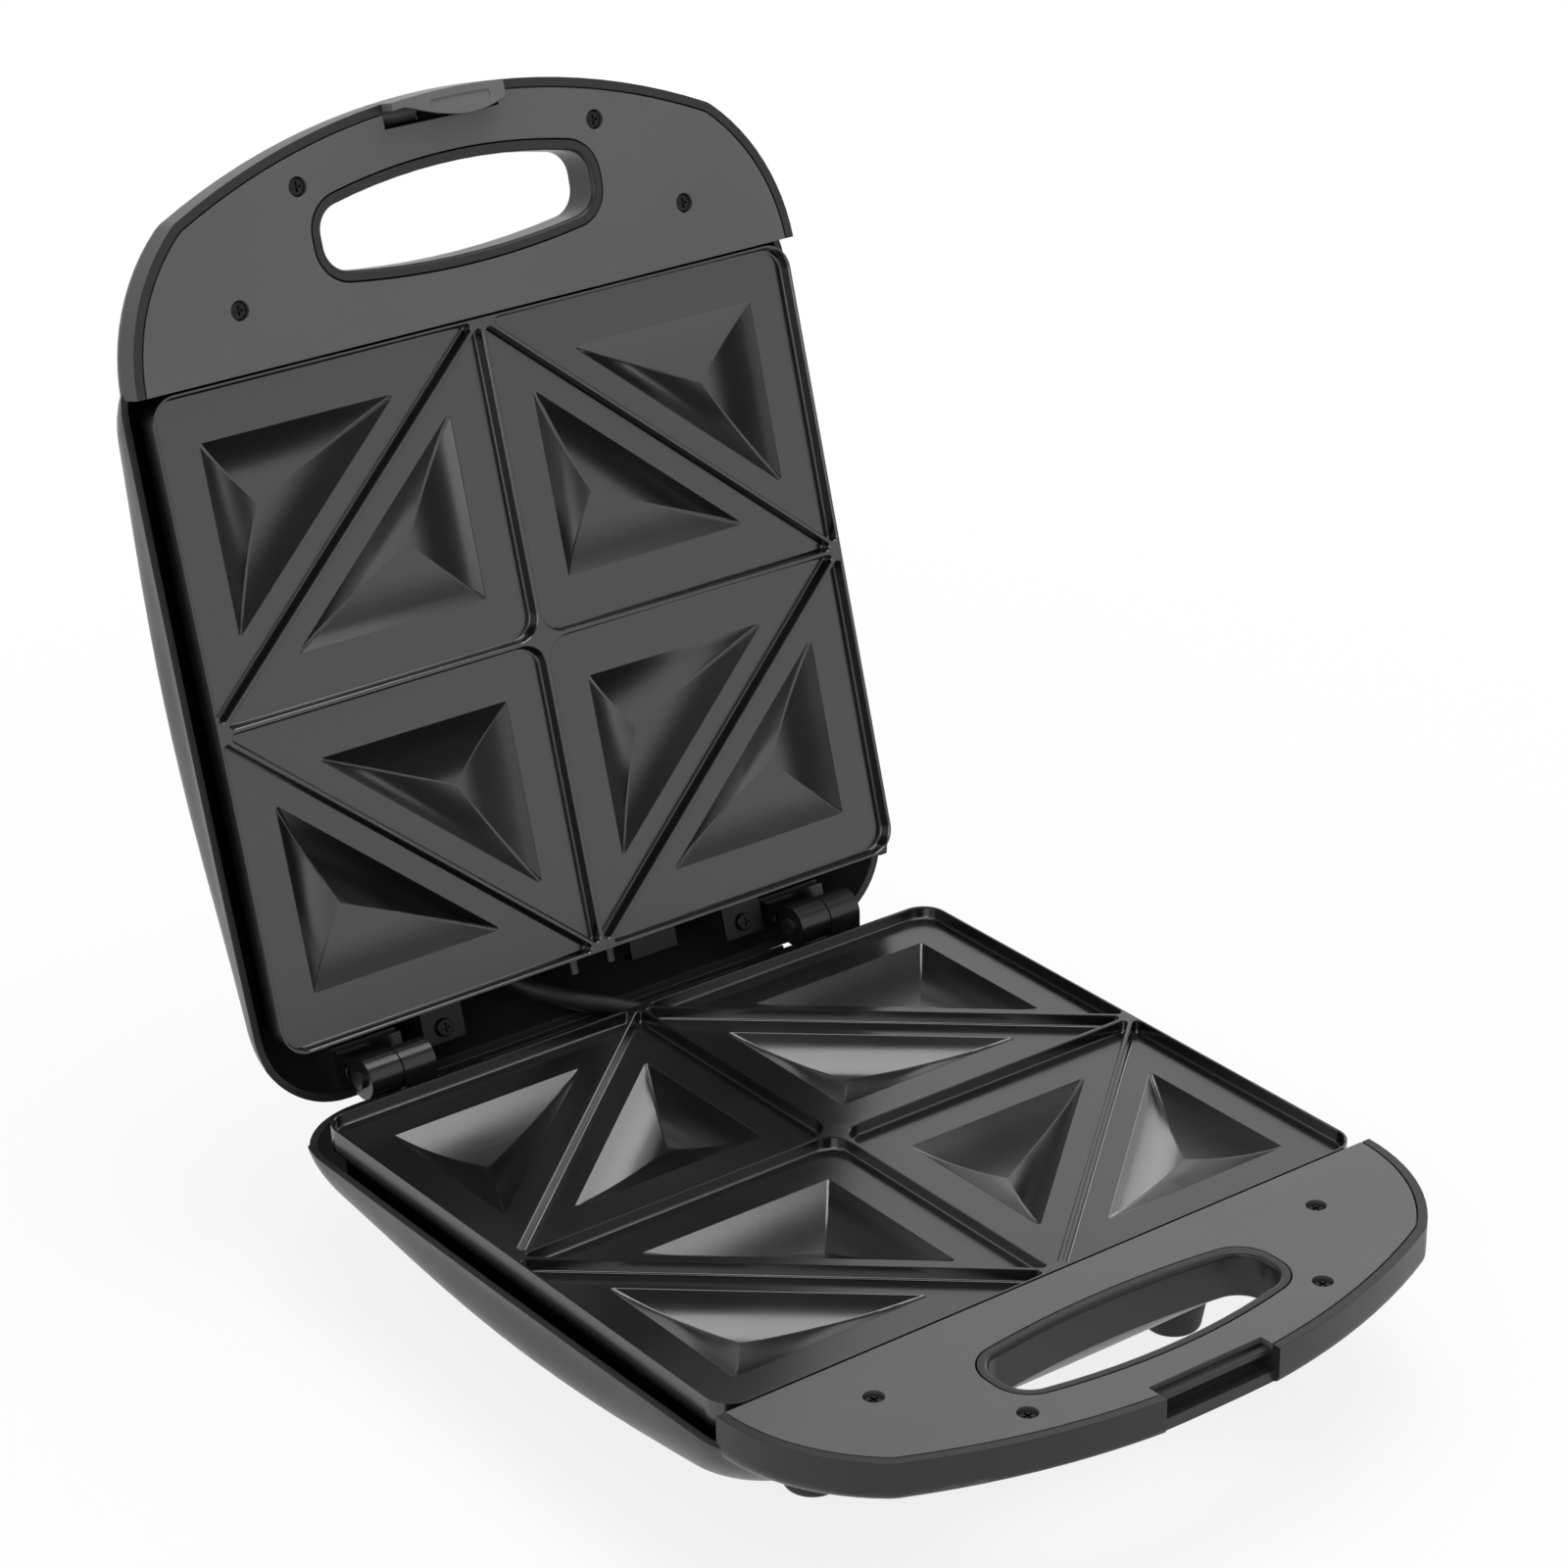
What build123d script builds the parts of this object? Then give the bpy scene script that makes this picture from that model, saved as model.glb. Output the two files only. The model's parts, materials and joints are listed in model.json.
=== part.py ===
"""Four-slice sandwich toaster: two ribbed cooking plates in a hinged housing.

Both halves share one design.  Each piece is drawn in the "half frame": z = 0 is the
rim of the cooking plate, the body hangs below it, the handle points to -Y and the
hinge lies at +Y.  A half is then set down on its feet, or turned over and swung
open about the hinge.  Millimetres.  In the finished frame the table is z = 0, X runs
along the hinge and the origin lies under the middle of the object as it stands open.
"""
from build123d import *
import math
import os

os.makedirs("parts", exist_ok=True)

# ---------------------------------------------------------------- cooking plates
plate_width = 250.0         # across the hinge, over the rims
plate_depth = 216.6         # hinge side to handle side
plate_skirt = 8.0           # height of the plate's outer wall
plate_wall = 2.2            # casting thickness
plate_corner = 9.0
rim_top = 0.9               # top of the outer rim
rib_half = 0.75             # half width of a rib's top
rib_ease = 0.3              # eased edges of ribs and rim
tray_depth = 4.0            # from the ribs down to the flat trays
tray_draft = 0.55           # how far a tray's wall leans out
tray_corner = 7.5           # floor radius in a tray's square corner
tray_tip = 1.0              # floor radius in its sharp corners
tray_foot = 0.8             # radius between a tray's floor and wall
pocket_depth = 8.0          # from the tray down to a pocket's deep point
pocket_inset_x = 16.5       # from the plate's middle line to a pocket
pocket_inset_y = 17.3
pocket_to_diagonal = 10.0   # from a diagonal rib's middle to a pocket
pocket_deep_x = 20.2        # from a pocket's square corner to its deep point
pocket_deep_y = 24.0
pocket_crease = 1.3         # radius where two of its faces meet
pocket_mouth = 0.5          # radius of its edge with the tray
pocket_fullness = 0.7       # share of the depth that is reached halfway in
post_radius = 4.0           # plate's screw posts
post_inset = 8.9            # from the plate's side
post_from_end = 46.3        # from the plate's front and back edges

# ---------------------------------------------------------------- how the halves stand
rim_height = 60.5           # lower rim above the table
rim_gap = 0.6               # between the two rims when the lid is shut
open_angle = 105.9          # how far the lid stands open at rest
stop_spare = 3.5            # degrees between the two back edges at rest
stop_rise = 0.6             # how much higher the edges stand between the hinges
hinge_behind_plate = 14.0   # hinge axis behind the plate's back edge

# ---------------------------------------------------------------- housing
wall = 2.5
side_slot = 3.0             # open gap between plate and housing
tub_edge = 10.0             # housing's side edge below the rim
hull_depth = 46.0           # flat underside below the rim
back_behind_plate = 23.7    # housing's back face behind the plate
back_bow = 1.5              # how far the front and back faces bulge
handle_thickness = 17.0
handle_edge_round = 7.5
bulkhead = 2.0              # wall between the handle and the hot space

cover_reach = 71.7          # handle cover's front, ahead of the plate
cover_kink_in = 23.2        # where its front arc meets the corner arc, inside the plate's side
cover_kink_ahead = 48.6
cover_bulge_in = 6.6        # a point on the corner arc
cover_bulge_ahead = 27.6
cover_thickness = 2.0
cover_lip = 2.9             # housing lip round the cover
cover_ledge = 1.2           # ledge under the cover's edge
cover_gap = 0.6
plate_to_cover = 0.8
kink_round = 9.0

hole_half = 52.2            # handle hole: half length
hole_back = 21.6            # its back edge ahead of the plate, at the middle
hole_front = 51.4
hole_back_radius = 303.4    # bow of each long edge
hole_front_radius = 211.6
hole_corner = 9.0
hole_lip = 3.4              # width of the wall that shows round the hole
hole_flare = 1.6            # rounding of the wall's two mouths

# ---------------------------------------------------------------- screws
screw_beside_hole = 5.4     # outer cover screws, beyond the hole's ends
screw_inset = 38.2          # inner cover screws, inside the plate's side
screw_ahead = (54.5, 20.7)  # distance of the two rows ahead of the plate
screw_head = 3.1            # radius
screw_head_height = 1.6
screw_recess = 1.0          # a cover screw's head below the surface
screw_shank = 1.5           # radius of the bore it bites in
screw_pass = 1.75           # radius of a hole that it passes through
cup_radius = 4.8
boss_radius = 4.8

# ---------------------------------------------------------------- latch
notch_half = 22.0           # latch notch, half width
notch_back = 66.0           # its back face ahead of the plate
notch_depth = 8.5           # below the lower rim
notch_wall = 2.2
notch_recess = 3.2          # front wall below the notch, behind the handle's face
keeper_reach = 4.0
keeper_gap = 1.5            # slot behind the keeper bar
keeper_thickness = 1.6
latch_fit = 0.5             # side clearance of the latch in its notch
latch_wall = 2.6
latch_lift = 0.2            # play between hook and keeper when shut
hook_thickness = 1.8
hook_ends = (1.3, 6.3)      # depth of the hook's blade behind the front at its two ends
hook_edge = ((11.0, 5.2), (-3.0, 8.8), (-14.5, 8.5))    # x and depth along its free edge
mark_middle = (-4.2, 4.3)   # finger mark on the blade: x and depth behind the front
mark_size = (23.0, 4.0)
mark_round = 1.9
mark_depth = 0.7
mark_tilt = 7.0             # degrees: deep at the front, flush at the free edge
latch_height = 12.8         # latch's end above the lid's rim
pivot_inset = 5.3           # latch pin behind the front face
pivot_height = 8.5          # above the lid's rim
latch_pin_radius = 1.5
latch_barrel = 3.2          # radius
spring_half = 6.0           # half width of the gap for the spring
spring_coil = 2.2           # radius over the coil
spring_wire = 0.5

# ---------------------------------------------------------------- hinges
hinge_inset = 37.0          # a hinge's middle inside the plate's side
knuckle_radius = 7.0
knuckle_width = 12.2
knuckle_gap = 0.5           # between the two knuckles of a hinge
pin_radius = 2.5
pin_head = 3.1              # radius
pin_tail = 1.5              # how far the pin stands out at each end
running_fit = 0.05
fixed_fit = 0.02
bracket_sheet = 3.0
bracket_drop = 13.0         # bracket's upper face below the rim
bracket_ahead = 7.5         # bracket's front edge ahead of the hinge axis
bracket_behind = 3.8
bracket_screw_x = 8.0       # from the hinge's middle
pillar_front = 8.5          # hinge pillar ahead of the axis

# ---------------------------------------------------------------- heat, wiring, feet
element_radius = 3.25
element_air = 0.15          # between the element and the plate
element_side_bend = 20.0
element_front_bend = 30.0
element_tail_bend = 14.0
element_half = 7.5          # half distance between its two ends
element_tail = 2.0          # sheath's end behind the plate
element_pin = 1.6           # radius
element_pin_length = 5.0
terminal_half = 13.0        # half width of the gap that lets the ends out
pan_sheet = 0.8
pan_drop = 9.0              # depth of the reflector pan below its flange
pan_inset = 3.4             # its wall inside the plate's outline
pan_hook_x = 60.0           # front hooks
pan_hook_half = 10.0
pan_tab_inset = 63.0        # rear screw tabs inside the plate's side
pan_tab_behind = 9.0        # tab screw behind the plate
pan_tab_half = 8.0
pan_guard = (15.0, 34.0)    # wire guard on the pan's rear edge, from and to along X
thermostat_radius = 8.5
thermostat_height = 7.0
block_x = 32.0              # middle of the terminal block
block_half = 12.0
block_rear = 28.3           # its rear face inside the plate's back edge
block_depth = 26.0
block_height = 16.0
sleeve_radius = 3.4
sleeve_gap = 0.2            # between the sleeve's end and its block
sleeve_turn = (16.3, -31.0)         # ahead of the hinge axis, and from the rim
sleeve_mouth = (19.0, 1.8, -14.0)   # x, ahead of the hinge axis, and from the rim
sleeve_bends = (20.6, 34.0)
gland_x = 40.0
gland_drop = 26.0           # below the rim
gland_radius = 5.0
gland_bore = 3.5
gland_flange = 8.0
gland_proud = 3.0
foot_from_front = 27.3      # a foot inside the plate's front, back and side edges
foot_from_back = 12.3
foot_from_side = 52.5
foot_root = 12.5            # radius where a foot meets the hull
foot_sole = 9.0
foot_round = 2.0
lamp_x = 14.0
lamp_from_front = 42.3      # inside the plate's front edge
lamp_radius = 3.0
lamp_proud = 0.8
lamp_flange = 1.2

# ---------------------------------------------------------------- places worked out from them
half_x = plate_width / 2
half_y = plate_depth / 2
front = -half_y             # plate's front edge; the handle lies beyond it
hinge_y = half_y + hinge_behind_plate
hinge_z = rim_gap / 2       # above each half's own rim plane
back_y = half_y + back_behind_plate
tub_half = half_x + side_slot + wall
hinge_centre = half_x - hinge_inset
pan_tab_x = half_x - pan_tab_inset
screw_places = [(hole_half + screw_beside_hole, screw_ahead[0]), (half_x - screw_inset, screw_ahead[1])]
foot_x = half_x - foot_from_side
foot_rows = (foot_from_front - half_y, half_y - foot_from_back)
block_back = half_y - block_rear
lamp_y = lamp_from_front - half_y
half_swing = math.radians((open_angle + stop_spare) / 2)
back_edge = (back_y - hinge_y) * math.tan(half_swing) - hinge_z
diagonal = math.hypot(half_x, half_y)
ceiling = -tray_depth - plate_wall          # plate's underside
pan_flange = -plate_skirt
pan_floor = pan_flange - pan_drop
cover_back = front - plate_to_cover
handle_floor = -handle_thickness + wall
cover_seat = -cover_thickness
cup_foot = -screw_recess - screw_head_height - plate_to_cover
bracket_seat = -bracket_drop - bracket_sheet
tab_y = half_y + pan_tab_behind
notch_y = front - notch_back
outer_front = front - cover_reach - cover_gap - cover_lip
keeper_bottom = cover_seat - keeper_thickness
hook_top = rim_gap - keeper_bottom + latch_lift      # beyond the lid's rim
hook_tip = hook_top + hook_thickness
pivot_y = outer_front + pivot_inset
post_places = [(x * (half_x - post_inset), y * (half_y - post_from_end))
               for x in (-1, 1) for y in (-1, 1)]
bracket_screws = [c + s * bracket_screw_x for c in (-hinge_centre, hinge_centre) for s in (-1, 1)]

# the hull's sections: level below the rim, how much narrower than the tub at its front,
# middle and back, front and back faces beyond the plate, radii of front and back corners
hull_levels = (
    (tub_edge, 0.7, -0.3, 0.9, 16.0, back_behind_plate, 22, 30),
    (19.0, 2.9, 1.0, 4.5, 13.0, 22.0, 26, 32),
    (28.0, 10.5, 3.0, 14.5, 7.0, 17.0, 28, 34),
    (36.0, 22.0, 11.0, 28.5, -2.0, 9.0, 30, 36),
    (42.0, 35.5, 22.5, 42.5, -12.0, -2.0, 32, 36),
    (hull_depth, 51.5, 38.0, 57.5, -25.0, -15.0, 32, 34),
)
floor_level = hull_depth - wall             # inside of the flat underside


def save(shape, name):
    """Write one node."""
    shape.label = name
    export_step(shape, f"parts/{name}.step")


def block(x0, x1, y0, y1, z0, z1):
    """A box from its six limits."""
    middle = Pos((x0 + x1) / 2, (y0 + y1) / 2, (z0 + z1) / 2)
    return middle * Box(x1 - x0, y1 - y0, z1 - z0)


def rod(x, y, z0, z1, radius):
    """An upright cylinder between two heights."""
    return Pos(x, y, (z0 + z1) / 2) * Cylinder(radius, z1 - z0)


def rod_x(x0, x1, y, z, radius):
    """A cylinder along X."""
    return Pos((x0 + x1) / 2, y, z) * (Rot(0, 90, 0) * Cylinder(radius, x1 - x0))


def rod_y(x, y0, y1, z, radius):
    """A cylinder along Y."""
    return Pos(x, (y0 + y1) / 2, z) * (Rot(90, 0, 0) * Cylinder(radius, y1 - y0))


def rise(face, height):
    """Extrude along Z, whichever way the face looks."""
    return extrude(face, height, dir=(0, 0, 1))


# ---------------------------------------------------------------- handle outlines
def handle_face(grow=0.0):
    """Handle cover's outline grown by a margin, ending square beside the plate."""
    left = [(cover_kink_in - half_x, front - cover_kink_ahead),
            (cover_bulge_in - half_x, front - cover_bulge_ahead), (-half_x, front)]
    right = [(-x, y) for x, y in left]
    front_arc = ThreePointArc(left[0], (0, front - cover_reach), right[0])
    right_arc = ThreePointArc(*right)
    left_arc = ThreePointArc(left[2], left[1], left[0])
    root = 4 * wall
    tail = Polyline(right[2], (half_x, front + root), (-half_x, front + root), left[2])
    outline = make_face([front_arc, right_arc, *tail.edges(), left_arc])
    kinks = [v for v in outline.vertices() if v.Y < front - 1]
    outline = fillet(kinks, kink_round)
    if grow:
        outline = offset(outline, grow, kind=Kind.INTERSECTION)
    return outline & (Pos(0, cover_back - plate_width) * Rectangle(2 * plate_width, 2 * plate_width))


def hole_face(grow=0.0):
    """Handle hole: two bowed long edges and blunt rounded ends."""
    back, ahead = front - hole_back, front - hole_front
    back_sag = hole_back_radius - math.sqrt(hole_back_radius ** 2 - hole_half ** 2)
    front_sag = hole_front_radius - math.sqrt(hole_front_radius ** 2 - hole_half ** 2)
    back_arc = ThreePointArc((-hole_half, back - back_sag), (0, back), (hole_half, back - back_sag))
    front_arc = ThreePointArc((hole_half, ahead + front_sag), (0, ahead), (-hole_half, ahead + front_sag))
    ends = [Line(back_arc @ 1, front_arc @ 0), Line(front_arc @ 1, back_arc @ 0)]
    outline = make_face([back_arc, front_arc, *ends])
    outline = fillet(outline.vertices(), hole_corner)
    return offset(outline, grow) if grow else outline


# ---------------------------------------------------------------- cooking plate
def quadrant_triangle(outer, inset_x, inset_y, from_diagonal):
    """Corners in the (+x, +y) quadrant: square corner, end along x, end along y."""
    if outer:
        x0, y0 = half_x - inset_x, half_y - inset_y
        reach = half_x * half_y + from_diagonal * diagonal
    else:
        x0, y0 = inset_x, inset_y
        reach = half_x * half_y - from_diagonal * diagonal
    return (x0, y0), ((reach - half_x * y0) / half_y, y0), (x0, (reach - half_y * x0) / half_x)


def triangle(corners, square_radius, tip_radius):
    """Triangle face with its square corner and its two tips rounded."""
    face = make_face(Polyline(*corners, close=True))
    square = Vector(*corners[0])
    by_distance = sorted(face.vertices(), key=lambda v: (Vector(v.X, v.Y) - square).length)
    keep = [Vector(v.X, v.Y) for v in by_distance[1:]]
    face = fillet(by_distance[:1], square_radius)
    tips = [v for v in face.vertices() if min((Vector(v.X, v.Y) - k).length for k in keep) < 1e-6]
    return fillet(tips, tip_radius)


def tray(outer):
    """Cutter for one flat triangular tray: steep walls, eased edge and rounded foot."""
    edge = rim_top if outer else rib_half
    corners = quadrant_triangle(outer, edge + tray_draft, edge + tray_draft, rib_half + tray_draft)
    floor = Pos(0, 0, -tray_depth) * triangle(corners, tray_corner, tray_tip)
    lean = math.degrees(math.atan(tray_draft / tray_depth))
    body = extrude(floor, tray_depth - rib_ease, dir=(0, 0, 1), taper=-lean)
    lip = extrude(body.faces().sort_by(Axis.Z)[-1], rib_ease, dir=(0, 0, 1), taper=-45)
    return fillet(body.faces().sort_by(Axis.Z)[0].edges(), tray_foot) + lip


def pocket(outer, grow=0.0):
    """One pocket: three bowed troughs whose common part has a single deep point."""
    corners = quadrant_triangle(outer, pocket_inset_x, pocket_inset_y, pocket_to_diagonal)
    away = -1 if outer else 1
    deep = Vector(corners[0][0] + away * pocket_deep_x, corners[0][1] + away * pocket_deep_y)
    depth = pocket_depth + grow
    body = None
    for i in range(3):
        start, end = Vector(*corners[i]), Vector(*corners[(i + 1) % 3])
        along = (end - start).normalized()
        inward = Vector(-along.Y, along.X)
        if (deep - start).dot(inward) < 0:
            inward = inward * -1
        origin = start - inward * grow - Vector(0, 0, tray_depth)
        run = (deep - start).dot(inward) + grow
        side = Plane(origin=origin, x_dir=inward, z_dir=inward.cross(Vector(0, 0, 1)))
        slope = ThreePointArc((0, 0), (run / 2, -depth * pocket_fullness), (run, -depth))
        rest = Polyline(slope @ 1, (diagonal, -depth), (diagonal, 0), (0, 0))
        trough = extrude(side * make_face([slope, *rest.edges()]), 2 * diagonal, both=True)
        body = trough if body is None else body & trough
    return body


def well(outer):
    """Cutter for a tray and its pocket, with rounded creases and a rounded mouth."""
    bowl = pocket(outer)
    creases = [e for e in bowl.edges() if abs((e @ 0).Z - (e @ 1).Z) > pocket_depth / 2]
    bowl = fillet(creases, pocket_crease)
    mouth = [e @ 0.5 for e in bowl.edges() if abs((e @ 0.5).Z + tray_depth) < 0.001]
    cutter = tray(outer) + bowl
    edges = [e for e in cutter.edges() if min(((e @ 0.5) - m).length for m in mouth) < 0.01]
    return fillet(edges, pocket_mouth)


def four_ways(shape):
    """A quadrant's piece in all four quadrants."""
    side = [shape, shape.mirror(Plane.YZ)]
    return side + [piece.mirror(Plane.XZ) for piece in side]


def terminal_gap():
    """Space at the back of plate and pan for the element's ends."""
    return block(-terminal_half, terminal_half, half_y - 2 * pan_inset, back_y,
                 ceiling - 2 * (element_radius + element_air) - 1, ceiling)


def cooking_plate():
    """Cast plate: skirt, ribs, eight trays, eight pockets and four screw posts."""
    body = rise(Pos(0, 0, -plate_skirt) * RectangleRounded(plate_width, plate_depth, plate_corner),
                plate_skirt)
    under = RectangleRounded(plate_width - 2 * plate_wall, plate_depth - 2 * plate_wall,
                             plate_corner - plate_wall)
    body -= rise(Pos(0, 0, -plate_skirt) * under, plate_skirt + ceiling)
    bulges = four_ways(pocket(False, plate_wall)) + four_ways(pocket(True, plate_wall))
    posts = [rod(x, y, pan_floor, ceiling, post_radius) for x, y in post_places]
    body = body + bulges + posts
    cuts = four_ways(well(False)) + four_ways(well(True))
    cuts += [rod(x, y, pan_floor, ceiling - plate_wall, screw_shank) for x, y in post_places]
    return body - cuts - terminal_gap()


def reflector_pan():
    """Thin pan that backs the plate: flange, front hooks, rear tabs and a wire guard."""
    under = pan_flange - pan_sheet
    wall_x, wall_y = half_x - pan_inset, half_y - pan_inset
    radius = plate_corner - 1
    pan = rise(Pos(0, 0, pan_floor - pan_sheet) * RectangleRounded(2 * wall_x, 2 * wall_y, radius),
               pan_drop + pan_sheet)
    pan += rise(Pos(0, 0, under) * RectangleRounded(plate_width - 1, plate_depth - 1, radius), pan_sheet)
    for side in (-1, 1):
        x = side * pan_tab_x
        pan += block(x - pan_tab_half, x + pan_tab_half, wall_y, tab_y + 5, under, pan_flange)
        pan -= rod(x, tab_y, under, pan_flange, screw_pass)
        x = side * pan_hook_x
        pan += block(x - pan_hook_half, x + pan_hook_half, cover_back - bulkhead - 2, front + 3,
                     under, pan_flange)
    inner = RectangleRounded(2 * (wall_x - pan_sheet), 2 * (wall_y - pan_sheet), radius - pan_sheet)
    pan -= rise(Pos(0, 0, pan_floor) * inner, pan_drop)
    guard = block(-pan_guard[1], -pan_guard[0], wall_y, tab_y, under, pan_flange)
    guard += block(-pan_guard[1], -pan_guard[0], tab_y - pan_sheet, tab_y, under - 5, pan_flange)
    pan += guard
    for x, y in post_places:
        pan -= rod(x, y, pan_floor - pan_sheet, pan_floor, screw_pass)
    return pan - terminal_gap()


def heating_element():
    """Sheathed loop under the diagonal ribs, with both ends out at the back."""
    z = ceiling - element_air - element_radius
    corner_y = half_y * (1 - element_half / half_x)
    end_y = half_y + element_tail
    route = [(-element_half, end_y, z), (-element_half, corner_y, z), (-half_x, 0, z),
             (0, -half_y, z), (half_x, 0, z), (element_half, corner_y, z), (element_half, end_y, z)]
    bends = [element_tail_bend, element_side_bend, element_front_bend, element_side_bend,
             element_tail_bend]
    path = FilletPolyline(*route, radius=bends)
    start = Plane(origin=path @ 0, z_dir=path % 0)
    tube = sweep(start * Circle(element_radius), path=path)
    for x in (-element_half, element_half):
        tube += rod_y(x, end_y - 1, end_y + element_pin_length, z, element_pin)
    return tube


# ---------------------------------------------------------------- housing
def hull_section(level, inset, raised):
    """Barrel-sided section of the hull at one level."""
    depth, at_front, at_middle, at_back, ahead, behind, r_front, r_back = level
    y0, y1 = front - ahead + inset, half_y + behind - inset
    xf, xm, xb = (tub_half - narrower - inset for narrower in (at_front, at_middle, at_back))
    front_arc = ThreePointArc((-xf, y0), (0, y0 - back_bow), (xf, y0))
    right_arc = ThreePointArc((xf, y0), (xm, 0), (xb, y1 - back_bow))
    back_arc = ThreePointArc((xb, y1 - back_bow), (0, y1), (-xb, y1 - back_bow))
    left_arc = ThreePointArc((-xb, y1 - back_bow), (-xm, 0), (-xf, y0))
    face = make_face([front_arc, right_arc, back_arc, left_arc])
    face = fillet([v for v in face.vertices() if v.Y < 0], r_front - inset)
    rear = sorted((v for v in face.vertices() if v.Y > 0), key=lambda v: abs(v.X))[-2:]
    return Pos(0, 0, raised - depth) * fillet(rear, r_back - inset)


def hull_sections(inset=0.0):
    """All sections of the hull, or of its inside when inset by the wall."""
    last = len(hull_levels) - 1
    return [hull_section(level, inset, inset * i / last) for i, level in enumerate(hull_levels)]


outer_sections = hull_sections()
inner_sections = hull_sections(wall)
hull = loft(outer_sections)
hull_inside = loft(inner_sections)


# ---------------------------------------------------------------- placing the two halves
hinge_line = Axis((0, hinge_y, rim_height + hinge_z), (1, 0, 0))
rearmost = (Pos(0, 0, rim_height + rim_gap) * (Rot(0, 180, 0) * hull)).rotate(hinge_line, -open_angle)
middle_y = (outer_front + rearmost.bounding_box().max.Y) / 2


def set_down(shape):
    """Half frame to the finished frame, as the lower half."""
    return Pos(0, -middle_y, rim_height) * shape


def swing_open(shape):
    """Turn a half over onto the lower half, then open it to its rest."""
    shut = Pos(0, 0, rim_height + rim_gap) * (Rot(0, 180, 0) * shape)
    return Pos(0, -middle_y, 0) * shut.rotate(hinge_line, -open_angle)


def swung_point(x, y, z):
    """A point of the upper half, from its half frame to the finished frame at rest."""
    arm = Vector(-x, y - hinge_y, hinge_z - z).rotate(Axis.X, -open_angle)
    return arm + Vector(0, hinge_y - middle_y, rim_height + hinge_z)


def slab():
    """Outside of the handle, square beside the plate and rounded underneath."""
    body = rise(Pos(0, 0, -handle_thickness) * handle_face(cover_gap + cover_lip), handle_thickness)
    low = [e for e in body.edges() if (e @ 0).Z < -handle_thickness + 0.01
           and (e @ 1).Z < -handle_thickness + 0.01 and (e @ 0.5).Y < cover_back - 1]
    return fillet(low, handle_edge_round)


handle_slab = slab()


def hollow():
    """Everything that is cut away inside the hull and the handle."""
    lid = rise(inner_sections[0], tub_edge) & block(-plate_width, plate_width, cover_back, plate_width,
                                                   -tub_edge, 0)
    inside = rise(Pos(0, 0, handle_floor) * handle_face(-cover_ledge), -handle_floor)
    recess = rise(Pos(0, 0, cover_seat) * handle_face(cover_gap), cover_thickness)
    rear = block(-plate_width, plate_width, half_y + pan_inset, plate_width, -back_edge, 0)
    stop = block(-hinge_centre, hinge_centre, half_y + pan_inset, plate_width,
                 -back_edge, stop_rise - back_edge)
    return [hull_inside, lid, inside, recess, rear - stop]


def supports():
    """Bulkhead, hole wall, bosses and pillars, before they are trimmed to the outside."""
    thick = block(-plate_width, plate_width, cover_back - bulkhead, cover_back, -hull_depth, cover_seat)
    pieces = [thick, rise(Pos(0, 0, -handle_thickness) * hole_face(hole_lip), handle_thickness)]
    for x, ahead in screw_places:
        for side in (-1, 1):
            pieces.append(rod(side * x, front - ahead, -handle_thickness, cup_foot, boss_radius))
    for side in (-1, 1):
        x = side * hinge_centre
        half = knuckle_width + knuckle_gap / 2
        pieces.append(block(x - half, x + half, hinge_y - pillar_front, plate_width,
                            -hull_depth, bracket_seat))
        pieces.append(rod(side * pan_tab_x, tab_y, -hull_depth, pan_flange - pan_sheet, boss_radius))
    return pieces


def bores():
    """Screw bores, hook windows and the handle hole."""
    cuts = [rise(Pos(0, 0, -handle_thickness) * hole_face(), handle_thickness)]
    for x, ahead in screw_places:
        for side in (-1, 1):
            cuts.append(rod(side * x, front - ahead, handle_floor, cup_foot, screw_shank))
    for side in (-1, 1):
        cuts.append(rod(side * pan_tab_x, tab_y, pan_flange - 14, pan_flange, screw_shank))
        x = side * pan_hook_x
        cuts.append(block(x - pan_hook_half - 1, x + pan_hook_half + 1, cover_back - bulkhead, cover_back,
                          pan_flange - pan_sheet, pan_flange + 1))
    for x in bracket_screws:
        cuts.append(rod(x, hinge_y, bracket_seat - 12, bracket_seat, screw_shank))
    return cuts


def notch_box(depth):
    """The latch notch as a cutter, down to a depth below the rim."""
    return block(-notch_half, notch_half, outer_front - wall, notch_y, -depth, 0)


def notch_frame(depth):
    """Walls and floor of the pocket behind the notch."""
    frame = block(-notch_half - notch_wall, notch_half + notch_wall, outer_front, notch_y + notch_wall,
                  -depth - notch_wall, cover_seat)
    return frame & handle_slab


def round_hole_mouths(body):
    """Ease the two mouths of the handle hole."""
    back, ahead = front - hole_back, front - hole_front
    mouth = []
    for edge in body.edges():
        at = edge @ 0.5
        level = min(abs((edge @ t).Z - z) for t in (0, 1) for z in (0, -handle_thickness))
        inside = ahead - 0.1 < at.Y < back + 0.1 and abs(at.X) < hole_half + 0.1
        flat = abs((edge @ 0).Z - (edge @ 1).Z) < 0.01
        if inside and flat and level < 0.01:
            mouth.append(edge)
    return fillet(mouth, hole_flare)


def housing():
    """One moulded shell with its handle, bulkhead, bosses and pillars."""
    outside = hull + handle_slab
    body = outside - hollow()
    trimmed = [piece & outside for piece in supports()]
    body = body + trimmed - bores()
    return round_hole_mouths(body)


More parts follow.
